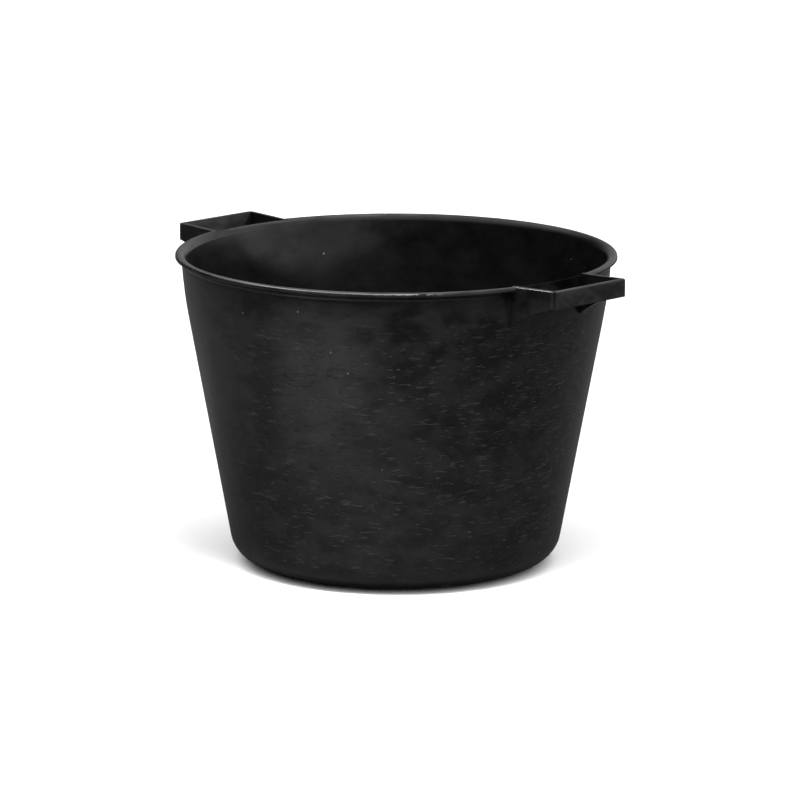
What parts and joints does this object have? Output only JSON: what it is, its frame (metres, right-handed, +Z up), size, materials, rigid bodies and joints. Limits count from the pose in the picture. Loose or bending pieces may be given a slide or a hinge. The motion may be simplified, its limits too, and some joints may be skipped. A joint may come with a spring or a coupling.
{
  "type": "builders bucket",
  "caption": "Round tapered black bucket with a rounded heel, an outturned lip and a loop handle on each side, for carrying mortar, rubble or water.",
  "frame": {"origin": "centre of the foot ring, on the ground", "axes": "+Z up along the axis of the tub, X through both handles, Y across them"},
  "size_m": [0.474, 0.3958, 0.2835],
  "materials": {
    "black_moulding": "dull black moulded surface, faintly mottled"
  },
  "bodies": {
    "root": {"floor_pan": "black_moulding", "foot_ring": "black_moulding", "tub_wall": "black_moulding", "collar_band": "black_moulding", "rim_lip": "black_moulding", "right_handle_grip": "black_moulding", "right_handle_front_cheek": "black_moulding", "right_handle_rear_cheek": "black_moulding", "left_handle_grip": "black_moulding", "left_handle_front_cheek": "black_moulding", "left_handle_rear_cheek": "black_moulding"}
  },
  "joints": []
}
